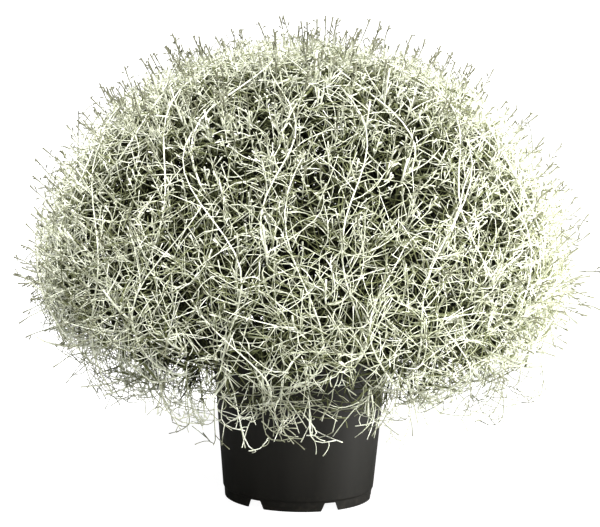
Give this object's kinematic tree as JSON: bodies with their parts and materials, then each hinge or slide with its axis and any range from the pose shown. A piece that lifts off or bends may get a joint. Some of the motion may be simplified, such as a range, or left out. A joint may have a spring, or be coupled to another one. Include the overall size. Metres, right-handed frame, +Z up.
{
  "type": "potted cushion bush",
  "caption": "Round, dense bush of thin, wiry, silver-felted stems and twigs, growing in soil in a tapered black plastic nursery pot with a turned-out rim.",
  "frame": {"origin": "on the ground, under the centre of the pot", "axes": "+Z up along the pot's axis, -Y to the front that the picture shows, +X to the right"},
  "size_m": [0.5626, 0.5668, 0.4744],
  "materials": {
    "pot": "satin black moulded plastic",
    "soil": "damp, crumbly potting soil",
    "stems": "silver-grey felt"
  },
  "bodies": {
    "root": {"pot": "pot", "soil": "soil", "leafy_stem_01": "stems", "leafy_stem_02": "stems", "leafy_stem_03": "stems", "leafy_stem_04": "stems", "leafy_stem_05": "stems", "leafy_stem_06": "stems", "leafy_stem_07": "stems", "leafy_stem_08": "stems", "leafy_stem_09": "stems", "leafy_stem_10": "stems", "leafy_stem_11": "stems", "leafy_stem_12": "stems", "leafy_stem_13": "stems", "leafy_stem_14": "stems", "leafy_stem_15": "stems", "leafy_stem_16": "stems", "leafy_stem_17": "stems", "leafy_stem_18": "stems", "leafy_stem_19": "stems", "leafy_stem_20": "stems", "leafy_stem_21": "stems", "leafy_stem_22": "stems", "leafy_stem_23": "stems", "leafy_stem_24": "stems", "leafy_stem_25": "stems", "leafy_stem_26": "stems", "leafy_stem_27": "stems", "leafy_stem_28": "stems", "leafy_stem_29": "stems", "leafy_stem_30": "stems", "leafy_stem_31": "stems", "leafy_stem_32": "stems", "leafy_stem_33": "stems", "leafy_stem_34": "stems", "leafy_stem_35": "stems", "leafy_stem_36": "stems"}
  },
  "joints": []
}
